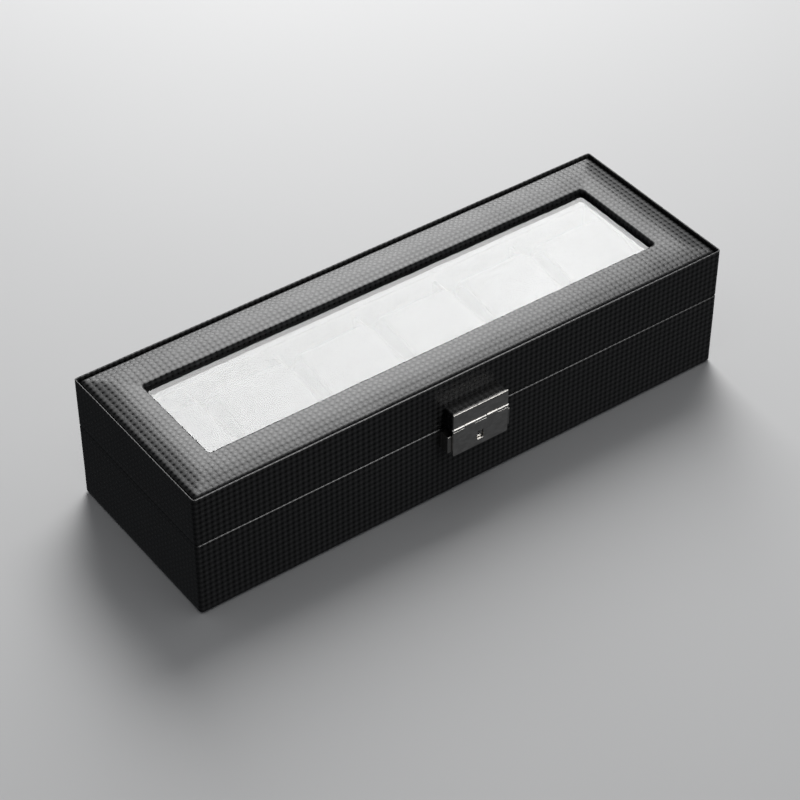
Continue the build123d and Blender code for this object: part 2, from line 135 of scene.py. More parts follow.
class Look:
    """A material under construction: adds nodes whose inputs are values or other nodes' outputs."""

    def __init__(self, name):
        self.material = bpy.data.materials.new(name)
        self.material.use_nodes = True
        self.tree = self.material.node_tree
        self.shader = self.tree.nodes["Principled BSDF"]

    def add(self, kind, inputs=None, out=0, **settings):
        node = self.tree.nodes.new("ShaderNode" + kind)
        for key, value in settings.items():
            setattr(node, key, value)
        for key, value in (inputs or {}).items():
            self.put(node.inputs[key], value)
        return node.outputs[out]

    def put(self, socket, value):
        if isinstance(value, bpy.types.NodeSocket):
            self.tree.links.new(value, socket)
        else:
            socket.default_value = value

    def set(self, **values):
        """Set the main shader's sockets, with their names' spaces as underscores."""
        for key, value in values.items():
            self.put(self.shader.inputs[key.replace("_", " ")], value)

    def calc(self, operation, a, b=0.0, c=0.0):
        return self.add("Math", {0: a, 1: b, 2: c}, operation=operation)

    def axes(self, vector):
        node = self.tree.nodes.new("ShaderNodeSeparateXYZ")
        self.put(node.inputs[0], vector)
        return list(node.outputs)

    def place(self, out="Object"):
        return self.add("TexCoord", out=out)

    def fade(self, value, low, high, at_low=0.0, at_high=1.0):
        """A smooth step from at_low to at_high as value goes from low to high."""
        inputs = {"Value": value, "From Min": low, "From Max": high, "To Min": at_low, "To Max": at_high}
        return self.add("MapRange", inputs, interpolation_type="SMOOTHSTEP")

    def speckle(self, per_metre, detail=2.0, roughness=0.5, stretch=(1, 1, 1)):
        """Noise from 0 to 1 with so many cells per metre, stretched along the axes."""
        spot = self.add("Mapping", {"Vector": self.place(), "Scale": stretch})
        inputs = {"Vector": spot, "Scale": per_metre, "Detail": detail, "Roughness": roughness}
        return self.add("TexNoise", inputs)

    def blend(self, factor, a, b):
        """A colour between a and b."""
        node = self.tree.nodes.new("ShaderNodeMix")
        node.data_type = "RGBA"
        for index, value in ((0, factor), (6, a), (7, b)):
            self.put(node.inputs[index], value)
        return node.outputs[2]

    def bump(self, height, distance, under=None):
        inputs = {"Height": height, "Distance": distance, "Strength": 1.0}
        if under is not None:
            inputs["Normal"] = under
        return self.add("Bump", inputs)


def grey(value, tint=(1.0, 1.0, 1.0)):
    return (value * tint[0], value * tint[1], value * tint[2], 1.0)


def emboss(look):
    """The leather's square grid of raised dots, from -1 in the pits to 1 on the dots.

    Each face shows the two waves that run along it, and a rounded edge fades from one pair to the next."""
    total = 0.0
    for along, facing in zip(look.axes(look.place()), look.axes(look.place("Normal"))):
        wave = look.calc("COSINE", look.calc("MULTIPLY", along, 2 * math.pi / EMBOSS_PITCH))
        weight = look.fade(look.calc("ABSOLUTE", facing), 0.45, 0.95, 1.0, 0.0)
        total = look.calc("MULTIPLY_ADD", wave, weight, total)
    return look.calc("MULTIPLY", total, 0.5)


def leather():
    """Black leather: glossy pits with painted shade darkening their colour and specular tint, duller and
    broader shine between them, and a painted highlight lightening the colour and specular tint of the
    dots.
    """
    look = Look("embossed_leather")
    dots = emboss(look)
    grain = look.speckle(1900, 3.0, 0.6)
    cloud = look.speckle(22, 3.0, 0.55)
    # Mask of the pits: it drives their bump and roughness, and painted shade in their colour and specular
    # tint
    pit_mask_and_painted_shade = look.fade(dots, -0.95, -0.15, 1.0, 0.0)
    # Mask of the dots, used only for their painted highlight
    painted_crest_highlight = look.fade(dots, 0.0, 0.95)
    dull = look.blend(cloud, grey(0.0025), grey(0.004, (1.0, 1.0, 1.04)))
    # painted highlight: the dots' colour lightened
    colour = look.blend(painted_crest_highlight, dull, grey(0.009, (1.0, 1.0, 1.03)))
    # painted shade: the pits' colour darkened to near black
    colour = look.blend(pit_mask_and_painted_shade, colour, grey(0.001))
    # painted highlight: the dots' specular tint raised above the rest
    painted_spec_highlight_and_shade = look.blend(painted_crest_highlight, grey(0.60), grey(1.0))
    # painted shade: the pits' specular tint darkened
    painted_spec_highlight_and_shade = look.blend(pit_mask_and_painted_shade, painted_spec_highlight_and_shade, grey(0.27))
    rough = look.calc("MULTIPLY_ADD", pit_mask_and_painted_shade, -0.20, 0.41)
    rough = look.calc("MULTIPLY_ADD", cloud, 0.05, rough)
    soft = look.bump(look.speckle(45, 1.0), 0.25 * MM)
    fine = look.bump(grain, GRAIN_HEIGHT, soft)
    waves = look.bump(dots, EMBOSS_HEIGHT, fine)
    normal = look.bump(look.calc("SUBTRACT", 1.0, pit_mask_and_painted_shade), PIT_DEPTH, waves)
    look.set(Base_Color=colour, Roughness=rough, Normal=normal)
    look.set(Specular_Tint=painted_spec_highlight_and_shade, Specular_IOR_Level=0.96)
    return look.material


def velvet(name, tone, pile=1.0):
    """Short-pile fabric: darker where the pile is brushed away, with a soft sheen at the edges."""
    look = Look(name)
    brushed = look.speckle(38, 2.0, 0.55, (1.0, 1.6, 1.0))
    fibres = look.speckle(3800, 2.0, 0.7)
    weave = look.speckle(900, 1.0, 0.5)
    tone_map = look.fade(brushed, 0.38, 0.62)
    colour = look.blend(tone_map, grey(tone * 0.72), grey(tone * 1.25, (1.0, 1.0, 1.03)))
    colour = look.blend(look.fade(fibres, 0.35, 0.75), colour, grey(tone * 1.7))
    nap = look.bump(weave, 0.08 * MM * pile)
    normal = look.bump(fibres, 0.10 * MM * pile, nap)
    look.set(Base_Color=colour, Roughness=0.92, Normal=normal, Sheen_Weight=0.35)
    look.set(Sheen_Roughness=0.45, Sheen_Tint=(0.75, 0.76, 0.8, 1.0), Specular_IOR_Level=0.2)
    return look.material


def felt():
    """Black needled felt: matted tufts with stray threads."""
    look = Look("needled_felt")
    tufts = look.speckle(700, 4.0, 0.7)
    threads = look.speckle(2600, 2.0, 0.7, (1.0, 0.25, 1.0))
    colour = look.blend(tufts, grey(0.010), grey(0.035))
    normal = look.bump(threads, 0.15 * MM, look.bump(tufts, 0.25 * MM))
    look.set(Base_Color=colour, Roughness=0.97, Normal=normal, Specular_IOR_Level=0.15)
    return look.material


def brushed_steel(name, tone, rough, grain=(0.03, 1.0, 1.0), tint=(1.0, 0.97, 0.92)):
    """Steel with fine brush lines along X, uneven polish and faint rubbed patches."""
    look = Look(name)
    lines = look.speckle(5200, 2.0, 0.65, grain)
    rubbed = look.speckle(320, 3.0, 0.6, (0.6, 1.0, 1.0))
    worn = look.fade(rubbed, 0.38, 0.64)
    colour = look.blend(lines, grey(tone * 0.68, tint), grey(tone * 1.22, tint))
    colour = look.blend(look.calc("MULTIPLY", worn, 0.8), colour, grey(tone * 1.25, tint))
    roughness = look.calc("MULTIPLY_ADD", lines, 0.12, rough - 0.06)
    roughness = look.calc("MULTIPLY_ADD", worn, -0.06, roughness)
    normal = look.bump(lines, 0.012 * MM)
    look.set(Base_Color=colour, Metallic=1.0, Roughness=roughness, Normal=normal)
    look.set(Anisotropic=0.5)
    return look.material


def plated(name, tone, rough):
    """Nickel plate on small turned parts, with faint tarnish."""
    look = Look(name)
    tarnish = look.fade(look.speckle(600, 3.0, 0.6), 0.4, 0.75)
    colour = look.blend(tarnish, grey(tone), grey(tone * 0.72, (1.0, 0.96, 0.88)))
    roughness = look.calc("MULTIPLY_ADD", tarnish, 0.15, rough)
    normal = look.bump(look.speckle(4000, 2.0), 0.006 * MM)
    look.set(Base_Color=colour, Metallic=1.0, Roughness=roughness, Normal=normal)
    return look.material


def fibreboard(name, dark, light):
    """Pressed wood fibre, bare or stained, from its dark flecks to its light ones."""
    look = Look(name)
    chips = look.speckle(1500, 4.0, 0.7, (0.5, 0.5, 1.0))
    patches = look.speckle(40, 2.0)
    colour = look.blend(chips, dark, light)
    colour = look.blend(look.calc("MULTIPLY", patches, 0.4), colour, dark)
    look.set(Base_Color=colour, Roughness=0.85, Normal=look.bump(chips, 0.08 * MM))
    return look.material


def clear_glass():
    """Window glass with faint smudges."""
    look = Look("clear_glass")
    smudge = look.fade(look.speckle(30, 3.0, 0.6), 0.5, 0.8)
    roughness = look.calc("MULTIPLY", smudge, 0.02)
    look.set(Base_Color=(0.985, 0.995, 0.99, 1.0), Roughness=roughness, IOR=1.5)
    look.set(Transmission_Weight=1.0)
    return look.material


# ------------------------------------------------------------------ mesh helpers


def new_piece(name, body, material, bm):
    """Turn a bmesh into a smooth-shaded piece that rides on a body."""
    bmesh.ops.recalc_face_normals(bm, faces=bm.faces)
    mesh = bpy.data.meshes.new(name)
    bm.to_mesh(mesh)
    bm.free()
    mesh.polygons.foreach_set("use_smooth", [True] * len(mesh.polygons))
    piece = bpy.data.objects.new(name, mesh)
    bpy.context.scene.collection.objects.link(piece)
    mesh.materials.append(material)
    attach(piece, body)
    return piece


def apply_modifiers(piece):
    graph = bpy.context.evaluated_depsgraph_get()
    mesh = bpy.data.meshes.new_from_object(piece.evaluated_get(graph), depsgraph=graph)
    piece.modifiers.clear()
    piece.data = mesh
    mesh.polygons.foreach_set("use_smooth", [True] * len(mesh.polygons))


def steps(low, high, size):
    """Evenly spaced values from low up to, and without, high."""
    count = max(1, round(abs(high - low) / size))
    return [low + (high - low) * i / count for i in range(count)]


def rectangle_loop(half_x, half_y, radius, counts):
    """Points round a rounded rectangle, always the same number for the same counts."""
    along_x, along_y, corner = counts
    points = []
    sides = (
        (half_x, half_y, 0, along_x),
        (-half_x, half_y, 90, along_y),
        (-half_x, -half_y, 180, along_x),
        (half_x, -half_y, 270, along_y),
    )
    for index, (cx, cy, start, count) in enumerate(sides):
        centre = Vector((cx - math.copysign(radius, cx), cy - math.copysign(radius, cy)))
        for i in range(corner + 1):
            angle = math.radians(start + 90 * i / corner)
            points.append(centre + radius * Vector((math.cos(angle), math.sin(angle))))
        nx, ny = sides[(index + 1) % 4][:2]
        after = Vector((nx - math.copysign(radius, nx), ny - math.copysign(radius, ny)))
        angle = math.radians(start + 90)
        after = after + radius * Vector((math.cos(angle), math.sin(angle)))
        last = points[-1].copy()
        points.extend(last.lerp(after, i / count) for i in range(1, count))
    return points


def swept_ring(half_x, half_y, profile, radius_at, step=4.0 * MM, corner=8):
    """A closed section carried round a rounded rectangle. The section's points are (inset, z)."""
    counts = (round(2 * half_x / step), round(2 * half_y / step), corner)
    bm = bmesh.new()
    rings = []
    for inset, z in profile:
        loop = rectangle_loop(half_x - inset, half_y - inset, radius_at(inset), counts)
        rings.append([bm.verts.new((p.x, p.y, z)) for p in loop])
    size = len(rings[0])
    for a, b in zip(rings, rings[1:] + rings[:1]):
        for i in range(size):
            j = (i + 1) % size
            bm.faces.new((a[i], a[j], b[j], b[i]))
    return bm


def quarter(centre, radius, start, turn=90, count=5):
    """Points on an arc in the (inset, z) plane, angles in degrees from +inset towards +z."""
    return [
        (
            centre[0] + radius * math.cos(math.radians(start + turn * i / count)),
            centre[1] + radius * math.sin(math.radians(start + turn * i / count)),
        )
        for i in range(count + 1)
    ]


def ripple(bm, amount, size, keep=None):
    """Move points by soft noise, as leather and fabric lie a little unevenly."""
    for v in bm.verts:
        share = 1.0 if keep is None else keep(v.co)
        v.co += noise.noise_vector(v.co / size) * amount * share


def half_of(node):
    low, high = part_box(node)
    return (high - low) / 2


def dress(nodes, material, bevel=0.0, segments=2):
    """Give CAD nodes a material, and ease their sharp edges: one segment makes a crisp chamfer."""
    for name in nodes:
        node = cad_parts[name]
        node.data.materials.clear()
        node.data.materials.append(material)
        if bevel:
            weld = node.modifiers.new("weld", "WELD")
            weld.merge_threshold = 0.002 * MM
            flat = node.modifiers.new("flat", "DECIMATE")
            flat.decimate_type = "DISSOLVE"
            flat.angle_limit = math.radians(0.5)
            ease = node.modifiers.new("ease", "BEVEL")
            ease.width = bevel
            ease.segments = segments
            ease.limit_method = "ANGLE"
            ease.angle_limit = math.radians(40)
            ease.use_clamp_overlap = True
            if segments == 1:
                crisp = node.modifiers.new("crisp", "EDGE_SPLIT")
                crisp.split_angle = math.radians(30)
            else:
                shade = node.modifiers.new("shade", "WEIGHTED_NORMAL")
                shade.keep_sharp = False


# ------------------------------------------------------------------ leather pieces


def cut_hinge_seats(piece, leaves, rim, way):
    """Cut the hinge leaves' seats into a leather rim at height rim, whose leather lies on the side way."""
    case_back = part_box("base_wrap")[1].y
    depth_z = sorted((rim - way * MM, rim + way * (HINGE_LEAF + SEAT_SLACK)))
    for name in leaves:
        low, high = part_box(name)
        past_back = case_back + 3 * MM
        size = Vector((high.x - low.x + 2 * SEAT_SLACK, past_back - low.y, depth_z[1] - depth_z[0]))
        centre = Vector(((low.x + high.x) / 2, low.y - SEAT_SLACK + size.y / 2, sum(depth_z) / 2))
        bm = bmesh.new()
        bmesh.ops.create_cube(bm, size=1.0, matrix=Matrix.LocRotScale(centre, None, size))
        mesh = bpy.data.meshes.new("cutter")
        bm.to_mesh(mesh)
        bm.free()
        cutter = bpy.data.objects.new("cutter", mesh)
        bpy.context.scene.collection.objects.link(cutter)
        cut = piece.modifiers.new("seat", "BOOLEAN")
        cut.object = cutter
        cut.operation = "DIFFERENCE"
        cut.solver = "EXACT"
        bpy.context.view_layer.update()
        apply_modifiers(piece)
        bpy.data.objects.remove(cutter)


def block_wrap():
    """Leather over the latch block: top and sides, its front edge turned down behind the hasp leaf."""
    low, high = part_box("latch_block_wrap")
    half_x = (high.x - low.x) / 2
    middle = (high.x + low.x) / 2
    outline = [(-half_x, low.z)]
    outline += [(-half_x, z) for z in steps(low.z + MM, high.z - BLOCK_ROUND, 2.0 * MM)]
    arc_high = high.z - BLOCK_ROUND
    outline += quarter((-half_x + BLOCK_ROUND, arc_high), BLOCK_ROUND, 180, -90, 5)
    outline += [(x, high.z) for x in steps(-half_x + 3 * MM, half_x - 2 * MM, 2.0 * MM)]
    outline += quarter((half_x - BLOCK_ROUND, arc_high), BLOCK_ROUND, 90, -90, 5)
    outline += [(half_x, z) for z in steps(high.z - 3 * MM, low.z, 2.0 * MM)]
    outline += [(half_x, low.z)]
    inner_round = BLOCK_ROUND - WRAP

    def drawn_in(point, by):
        """An outline point moved towards the middle of the block."""
        x, z = point
        if abs(x) > half_x - BLOCK_ROUND:
            x = math.copysign(max(abs(x) - by, 0), x)
        if z > high.z - BLOCK_ROUND:
            z -= by
        return x, z

    soft = BLOCK_FRONT_ROUND
    rows = (
        (high.y, 0.0), (low.y + 4 * MM, 0.0), (low.y + 2 * MM, 0.0), (low.y + soft, 0.0),
        (low.y + 0.3 * soft, 0.3 * soft), (low.y, soft), (low.y, WRAP + inner_round * 0.6),
        (low.y + 0.2 * MM, WRAP + inner_round * 0.8), (low.y + WRAP, WRAP + inner_round * 0.8),
        (low.y + WRAP, WRAP), (high.y, WRAP),
    )
    bm = bmesh.new()
    lines = []
    for y, by in rows:
        lines.append([bm.verts.new((middle + x, y, z)) for x, z in (drawn_in(p, by) for p in outline)])
    for a, b in zip(lines, lines[1:] + lines[:1]):
        for i in range(len(outline) - 1):
            bm.faces.new((a[i], a[i + 1], b[i + 1], b[i]))
    bm.faces.new([row[0] for row in lines])
    bm.faces.new([row[-1] for row in reversed(lines)])
    ripple(bm, 0.04 * MM, 9 * MM)
    piece = new_piece("latch_block_leather", "lid", LEATHER, bm)
    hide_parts("latch_block_wrap")


def corner_radius_from(outer):
    """The corner radius at an inset: smaller towards the inside."""
    return lambda inset: max(outer - inset, LEAST_ROUND)


def case_wrap(name, node, rim_up):
    """Leather round one half of the case: outer face, rounded rim, and turned in at the other end."""
    low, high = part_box(node)
    half = half_of(node)
    round_in = INNER_RIM_ROUND
    rim, far = (high.z, low.z) if rim_up else (low.z, high.z)
    way = 1 if rim_up else -1
    section = [(0.0, z) for z in steps(far + way * RIM_ROUND, rim - way * RIM_ROUND, 3.0 * MM)]
    section += quarter((RIM_ROUND, rim - way * RIM_ROUND), RIM_ROUND, 180, -90 * way)
    section += [(d, rim) for d in steps(RIM_ROUND + 0.6 * MM, WALL - round_in, 1.2 * MM)]
    section += quarter((WALL - round_in, rim - way * round_in), round_in, 90 * way, -90 * way, 3)
    section += [(WALL, rim - way * WRAP), (WRAP, rim - way * WRAP)]
    if rim_up:
        section += [(WRAP, far + WRAP), (TURN_IN, far + WRAP), (TURN_IN, far)]
        section += [(d, far) for d in steps(TURN_IN - MM, RIM_ROUND, 3.0 * MM)]
        section += quarter((RIM_ROUND, far + RIM_ROUND), RIM_ROUND, 270, -90)[:-1]
    else:
        section += quarter((WRAP - RIM_EDGE, far - RIM_EDGE), RIM_EDGE, 0, 90, 3)
        section += quarter((RIM_EDGE, far - RIM_EDGE), RIM_EDGE, 90, 90, 3)
    bm = swept_ring(half.x, half.y, section, corner_radius_from(CORNER_ROUND))
    ripple(bm, 0.10 * MM, 24 * MM, lambda p: 1.0 if abs(p.z - rim) > 2 * MM else 0.4)
    piece = new_piece(name, "base" if rim_up else "lid", LEATHER, bm)
    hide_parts(node)
    return piece


def padded_frame():
    """Leather drawn over foam round the window, rolling down to the groove and into the window."""
    low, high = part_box("lid_pad")
    case = half_of("lid_wrap")
    board_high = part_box("lid_top_board")[1].z
    outer = case.x - (high.x - low.x) / 2 + PAD_SET_IN
    inner = case.x - (half_of("glass_pane").x - GLASS_BEARING)
    shoulder = high.z - PAD_CROWN
    crown = high.z
    section = [(outer, board_high)]
    for degrees in (90, 76, 62, 48, 35, 22, 10):
        turn = math.radians(degrees)
        inset = outer + PAD_SHOULDER * (1 - math.sin(turn))
        section.append((inset, shoulder - PAD_DROP * (1 - math.cos(turn))))
    roll_steps, lip_steps = 12, 6
    for i in range(1, roll_steps + 1):
        share = i / roll_steps
        inset = outer + PAD_SHOULDER + (PAD_ROLL - PAD_SHOULDER) * share
        section.append((inset, shoulder + PAD_CROWN * math.sin(math.pi / 2 * share)))
    flat_low, flat_high = outer + PAD_ROLL, inner - PAD_LIP
    for d in steps(flat_low + MM, flat_high, 2.0 * MM):
        share = (d - flat_low) / (flat_high - flat_low)
        section.append((d, crown - PAD_FALL * share ** 2))
    lip_high = crown - PAD_FALL
    for i in range(lip_steps + 1):
        angle = math.pi / 2 * i / lip_steps
        z = lip_high - LIP_DROP * (1 - math.cos(angle))
        section.append((inner - PAD_LIP + PAD_LIP * math.sin(angle), z))
    foot = low.z + LIP_FOOT_ROUND
    section += [(inner, foot)]
    section += quarter((inner - LIP_FOOT_ROUND, foot), LIP_FOOT_ROUND, 0, -90, 3)
    section += [(inner - GLASS_BEARING, low.z)]

    def corner_at(inset):
        share = (inset - outer) / (inner - outer)
        return CORNER_ROUND * (1 - share) + WINDOW_CORNER * share

    bm = swept_ring(case.x, case.y, section, corner_at, step=3.0 * MM, corner=10)
    on_top = board_high + 0.5 * MM
    ripple(bm, 0.12 * MM, 17 * MM, lambda p: 1.0 if p.z > on_top else 0.0)
    piece = new_piece("padded_window_frame", "lid", LEATHER, bm)
    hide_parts("lid_pad")
    return piece


# ------------------------------------------------------------------ cushions


def cushion_section(low, high, inset):
    """The rounded four-sided section of a cushion in YZ, falling to the front, drawn in by inset."""
    y0, y1, z0, z1 = low.y + inset, high.y - inset, low.z, high.z
    back_top = z1 + BACK_RISE - inset
    front_top = back_top - (y1 - y0) * math.tan(CUSHION_SLOPE)
    corners = [Vector(p) for p in ((y0, z0), (y1, z0), (y1, back_top), (y0, front_top))]
    radius = SECTION_CORNER - inset
    points = []
    for i, corner in enumerate(corners):
        before = (corners[i - 1] - corner).normalized()
        after = (corners[(i + 1) % 4] - corner).normalized()
        half_angle = before.angle(after) / 2
        centre = corner + (before + after).normalized() * radius / math.sin(half_angle)
        start = corner + before * radius / math.tan(half_angle) - centre
        end = corner + after * radius / math.tan(half_angle) - centre
        a0 = math.atan2(start.y, start.x)
        turn = (math.atan2(end.y, end.x) - a0 + math.pi) % (2 * math.pi) - math.pi
        for k in range(CORNER_STEPS + 1):
            a = a0 + turn * k / CORNER_STEPS
            points.append(centre + radius * Vector((math.cos(a), math.sin(a))))
    return points


def raw_cushion(low, high):
    """The cushion before it is stuffed: its wrap panel between two flat side panels."""
    section = cushion_section(low, high, SECTION_INSET)
    half = (high.x - low.x) / 2 - SEAM_INSET
    middle = (high.x + low.x) / 2
    bm = bmesh.new()
    rows = []
    for x in (-half, half):
        rows.append([bm.verts.new((middle + x, p.x, p.y)) for p in section])
    size = len(section)
    for i in range(size):
        j = (i + 1) % size
        bm.faces.new((rows[0][i], rows[0][j], rows[1][j], rows[1][i]))
    bm.faces.new(rows[0])
    bm.faces.new(rows[1])
    bmesh.ops.recalc_face_normals(bm, faces=bm.faces)
    return bm


def remeshed(name, bm):
    mesh = bpy.data.meshes.new(name)
    bm.to_mesh(mesh)
    bm.free()
    piece = bpy.data.objects.new(name, mesh)
    bpy.context.scene.collection.objects.link(piece)
    grid = piece.modifiers.new("grid", "REMESH")
    grid.mode = "VOXEL"
    grid.voxel_size = VOXEL
    bpy.context.view_layer.update()
    apply_modifiers(piece)
    return piece


def stuffed(piece, low, high):
    """Blow a cushion up with cloth pressure, its seams held, and cap how far it swells."""
    start = [v.co.copy() for v in piece.data.vertices]
    middle = (high.x + low.x) / 2
    seam = (high.x - low.x) / 2 - SEAM_INSET
    held = piece.vertex_groups.new(name="held")
    rim = section_edge_test(low, high)
    for v in piece.data.vertices:
        near_side = abs(abs(v.co.x - middle) - seam) < 0.8 * VOXEL
        if near_side and rim(v.co) or v.co.z < low.z + 0.6 * MM:
            held.add([v.index], 1.0, "REPLACE")
    cloth = piece.modifiers.new("cloth", "CLOTH")
    settings = cloth.settings
    settings.quality = 6
    settings.mass = 0.2
    settings.tension_stiffness = 12
    settings.compression_stiffness = 12
    settings.shear_stiffness = 4
    settings.bending_stiffness = 0.4
    settings.use_pressure = True
    settings.uniform_pressure_force = 4.0
    settings.vertex_group_mass = "held"
    settings.effector_weights.gravity = 0.0
    cloth.collision_settings.use_collision = False
    scene = bpy.context.scene
    cloth.point_cache.frame_start = 1
    cloth.point_cache.frame_end = CLOTH_FRAMES
    for number in range(1, CLOTH_FRAMES + 1):
        scene.frame_set(number)
    graph = bpy.context.evaluated_depsgraph_get()
    moved = [v.co.copy() for v in piece.evaluated_get(graph).data.vertices]
    scene.frame_set(1)
    piece.modifiers.clear()
    for v, before, after in zip(piece.data.vertices, start, moved):
        step = after - before
        if step.length > SWELL_CAP:
            step *= SWELL_CAP / step.length
        v.co = before + step
    piece.data.update()


def section_edge_test(low, high):
    """Whether a point lies near the outline of the cushion's section."""
    outline = cushion_section(low, high, SECTION_INSET)
    pairs = list(zip(outline, outline[1:] + outline[:1]))

    def near(p):
        at = Vector((p.y, p.z))
        for a, b in pairs:
            run = b - a
            t = max(0.0, min(1.0, (at - a).dot(run) / max(run.length_squared, 1e-12)))
            if (at - (a + run * t)).length < 0.9 * VOXEL:
                return True
        return False

    return near


def settle(mesh, low, high, seed):
    """Keep a cushion inside its place, flat underneath, and give it its own small dents."""
    shift = Vector((seed * 3.1, seed * 1.7, seed * 0.9))
    middle, room = (high.x + low.x) / 2, (high.x - low.x) / 2 + SIDE_ROOM
    for v in mesh.vertices:
        v.co += noise.noise_vector(v.co / DENT_SIZE + shift) * DENT_DEPTH
        reach = v.co.x - middle
        if abs(reach) > room:
            v.co.x = middle + math.copysign(room, reach)
        v.co.z = max(v.co.z, low.z)
    mesh.update()


def piping(name, body, cushion, x, middle):
    """A sewn cord round one side panel, lying on the cushion's surface at x."""
    bm = bmesh.new()
    bm.from_mesh(cushion.data)
    tree = BVHTree.FromBMesh(bm)
    bm.free()
    path = []
    for i in range(PIPING_POINTS):
        angle = 2 * math.pi * i / PIPING_POINTS
        way = Vector((0, math.cos(angle), math.sin(angle)))
        hit = tree.ray_cast(Vector((x, middle.y, middle.z)) + way * 80 * MM, -way)
        if hit[0] is not None:
            path.append(hit[0] - way * 0.15 * MM)
    out = bmesh.new()
    rows = []
    size = len(path)
    for i, spot in enumerate(path):
        ahead = (path[(i + 1) % size] - path[i - 1]).normalized()
        across = Vector((1, 0, 0))
        normal = ahead.cross(across).normalized()
        twist = 0.07 * math.sin(i * 2 * math.pi / 3)
        row = []
        for k in range(PIPING_SIDES):
            a = 2 * math.pi * k / PIPING_SIDES
            offset = across * math.cos(a) + normal * math.sin(a)
            row.append(out.verts.new(spot + offset * PIPING_RADIUS * (1 + twist)))
        rows.append(row)
    for a, b in zip(rows, rows[1:] + rows[:1]):
        for k in range(PIPING_SIDES):
            m = (k + 1) % PIPING_SIDES
            out.faces.new((a[k], a[m], b[m], b[k]))
    return new_piece(name, body, PIPING, out)


def cushions():
    """Six stuffed cushions from one simulated cover, each with its own dents and piping."""
    low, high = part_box("cushion_1")
    master = remeshed("stuffing", raw_cushion(low, high))
    stuffed(master, low, high)
    soften = master.modifiers.new("soften", "SUBSURF")
    soften.levels = 1
    bpy.context.view_layer.update()
    apply_modifiers(master)
    for number in range(1, 7):
        node = f"cushion_{number}"
        body = f"pillow_{number}"
        here_low, here_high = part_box(node)
        mesh = master.data.copy()
        mesh.transform(Matrix.Translation(here_low - low))
        settle(mesh, here_low, here_high, number)
        piece = bpy.data.objects.new(f"watch_cushion_{number}", mesh)
        bpy.context.scene.collection.objects.link(piece)
        mesh.materials.append(CUSHION)
        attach(piece, body)
        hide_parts(node)
        middle = (here_low + here_high) / 2
        seam = (here_high.x - here_low.x) / 2 - SEAM_INSET - 0.4 * MM
        for side, word in ((-1, "left"), (1, "right")):
            place = middle.x + side * seam
            piping(f"cushion_{number}_piping_{word}", body, piece, place, middle)
    bpy.data.objects.remove(master)


# ------------------------------------------------------------------ studio


def area_light(name, target, way, distance, size, radiance):
    """A soft light at a distance from its target, with its width along X."""
    data = bpy.data.lights.new(name, "AREA")
    data.shape = "RECTANGLE"
    data.size = size[0]
    data.size_y = size[1]
    data.energy = radiance * math.pi * size[0] * size[1]
    light = bpy.data.objects.new(name, data)
    way = Vector(way).normalized()
    side = Vector(ACROSS)
    side = (side - way * side.dot(way)).normalized()
    turn = Matrix((side, way.cross(side), way)).transposed().to_4x4()
    light.matrix_world = Matrix.Translation(Vector(target) + way * distance) @ turn
    light.visible_camera = False
    bpy.context.scene.collection.objects.link(light)
    return light


def camera_back():
    """The direction from the object to the camera."""
    azimuth, elevation = math.radians(VIEW_AZIMUTH), math.radians(VIEW_ELEVATION)
    flat = math.cos(elevation)
    return Vector((math.sin(azimuth) * flat, -math.cos(azimuth) * flat, math.sin(elevation)))


def make_camera():
    """The camera of the photograph's view."""
    data = bpy.data.cameras.new("camera")
    data.lens = LENS
    data.sensor_width = SENSOR
    camera = bpy.data.objects.new("camera", data)
    back = camera_back()
    right = UP.cross(back).normalized()
    up = back.cross(right)
    place = back * VIEW_DISTANCE + right * VIEW_RIGHT + up * VIEW_UP
    camera.matrix_world = Matrix.Translation(place) @ Matrix((right, up, back)).transposed().to_4x4()
    bpy.context.scene.collection.objects.link(camera)
    bpy.context.scene.camera = camera


def light_only(light, pieces):
    """Keep a light to these pieces."""
    lit = bpy.data.collections.new("lit_by_" + light.name)
    for piece in pieces:
        lit.objects.link(piece)
    light.light_linking.receiver_collection = lit


def make_surroundings():
    """A dim room: paler above the horizon than below it."""
    world = bpy.data.worlds.new("studio")
    world.use_nodes = True
    tree = world.node_tree
    spot = tree.nodes.new("ShaderNodeTexCoord")
    axes = tree.nodes.new("ShaderNodeSeparateXYZ")
    fade = tree.nodes.new("ShaderNodeMapRange")
    fade.interpolation_type = "SMOOTHSTEP"
    tree.links.new(spot.outputs["Generated"], axes.inputs[0])
    tree.links.new(axes.outputs[2], fade.inputs["Value"])
    for key, value in (("From Min", -0.6), ("From Max", 0.05), ("To Min", 0.065), ("To Max", 0.14)):
        fade.inputs[key].default_value = value
    background = tree.nodes["Background"]
    background.inputs[0].default_value = (0.80, 0.83, 0.88, 1.0)
    tree.links.new(fade.outputs[0], background.inputs[1])
    bpy.context.scene.world = world


def make_floor():
    """A pale matt floor. It isn't mirrored, so that the box's dark sides stay dark."""
    look = Look("pale_floor")
    cloud = look.speckle(3, 2.0)
    colour = look.blend(cloud, grey(0.60), grey(0.64))
    look.set(Base_Color=colour, Roughness=0.65, Specular_IOR_Level=0.3)
    bm = bmesh.new()
    bmesh.ops.create_grid(bm, x_segments=1, y_segments=1, size=FLOOR_HALF)
    mesh = bpy.data.meshes.new("floor")
    bm.to_mesh(mesh)
    bm.free()
    mesh.materials.append(look.material)
    floor = bpy.data.objects.new("floor", mesh)
    bpy.context.scene.collection.objects.link(floor)
    floor.visible_glossy = False
    return floor


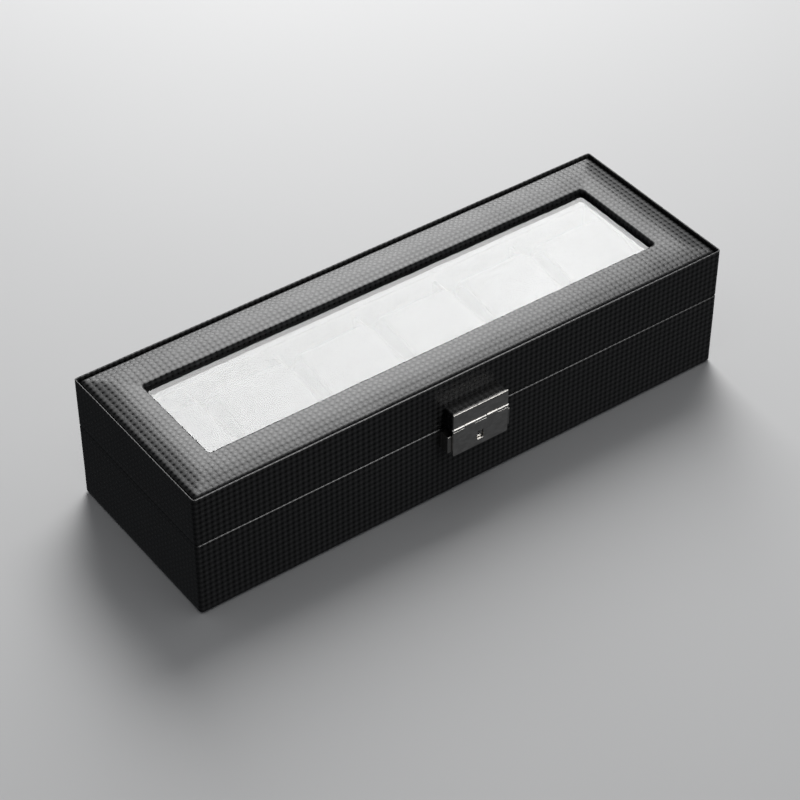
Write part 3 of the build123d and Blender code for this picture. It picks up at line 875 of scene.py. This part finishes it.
def make_lights(floor, pad):
    """A soft light that the glass and frame mirror, one for the floor, and two for the front edges."""
    window = Vector((SOFTBOX_SHIFT, 0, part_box("glass_pane")[1].z))
    back = camera_back()
    mirrored = Vector((-back.x, -back.y, back.z))
    area_light("softbox", window, mirrored, SOFTBOX_DISTANCE, SOFTBOX_SIZE, SOFTBOX_RADIANCE)
    overhead = area_light("overhead", (0, 0, 0), UP, OVERHEAD_HEIGHT, OVERHEAD_SIZE, OVERHEAD_RADIANCE)
    light_only(overhead, [floor])
    edge_way = (mirrored.x, -mirrored.y, mirrored.z)
    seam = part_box("base_wrap")
    edge_spot = (EDGE_LIGHT_X, seam[0].y, seam[1].z)
    pieces = [o for o in bpy.data.objects if o.type == "MESH" and o not in (floor, pad)]
    wraps = [o for o in pieces if LEATHER in list(o.data.materials)]
    others = [o for o in pieces if o not in wraps]
    edges = (
        ("leather_edge_light", wraps, LEATHER_EDGE_RADIANCE),
        ("metal_edge_light", others, METAL_EDGE_RADIANCE),
    )
    for name, lit, radiance in edges:
        edge = area_light(name, edge_spot, edge_way, EDGE_LIGHT_DISTANCE, EDGE_LIGHT_SIZE, radiance)
        light_only(edge, lit)


def make_studio(pad):
    floor = make_floor()
    make_surroundings()
    make_lights(floor, pad)
    bpy.context.scene.view_settings.view_transform = "Standard"


# ------------------------------------------------------------------ the box

LEATHER = leather()
CUSHION = velvet("cushion_velvet", 0.034)
PIPING = velvet("piping_velvet", 0.028, 0.6)
LINING = velvet("lining_velvet", 0.022, 0.7)
STEEL = brushed_steel("hasp_brushed_steel", 0.78, 0.34)

LEAVES = {half: [f"hinge_{half}_leaf_{side}" for side in ("left", "right")] for half in ("base", "lid")}

make_camera()
case_base = case_wrap("base_leather", "base_wrap", True)
cut_hinge_seats(case_base, LEAVES["base"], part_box("base_wrap")[1].z, -1)
case_lid = case_wrap("lid_leather", "lid_wrap", False)
cut_hinge_seats(case_lid, LEAVES["lid"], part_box("lid_wrap")[0].z, 1)
block_wrap()
pad = padded_frame()
cushions()

nodes = sorted(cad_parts)
BARE_BOARD = fibreboard("fibreboard", (0.30, 0.20, 0.12, 1.0), (0.50, 0.37, 0.24, 1.0))
BLACK_BOARD = fibreboard("black_fibreboard", grey(0.006), grey(0.014))
dress([n for n in nodes if n.endswith("_board")], BARE_BOARD)
dress(["lid_top_board", "glass_spacer", "latch_block"], BLACK_BOARD)
dress(["base_lining", "lid_lining"], LINING, bevel=0.3 * MM)
dress([n for n in nodes if n.startswith("divider_")], LINING)
dress(["bottom_felt"], felt())
dress(["glass_pane"], clear_glass(), bevel=0.3 * MM)
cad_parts["glass_pane"].visible_shadow = False
dress(["hasp_leaf", "hasp_flap"], STEEL, bevel=0.45 * MM, segments=1)
PLATED = plated("plated_steel", 0.5, 0.3)
dress(["hasp_pin", "hasp_hook", "lock_cam", "lock_clip"], PLATED, bevel=0.05 * MM)
SATIN = brushed_steel("lock_satin_steel", 0.5, 0.36)
dress(["lock_case", "lock_back_plate"], SATIN, bevel=0.1 * MM)
dress(["lock_plug"], plated("polished_nickel", 0.75, 0.16), bevel=0.05 * MM)
HINGES = brushed_steel("hinge_satin_nickel", 0.5, 0.32)
dress([n for n in nodes if n.startswith("hinge_") and "screws" not in n], HINGES, bevel=0.06 * MM)
SCREWS = plated("screw_nickel", 0.6, 0.28)
dress([n for n in nodes if n.endswith("_screws")], SCREWS, bevel=0.03 * MM)

make_studio(pad)
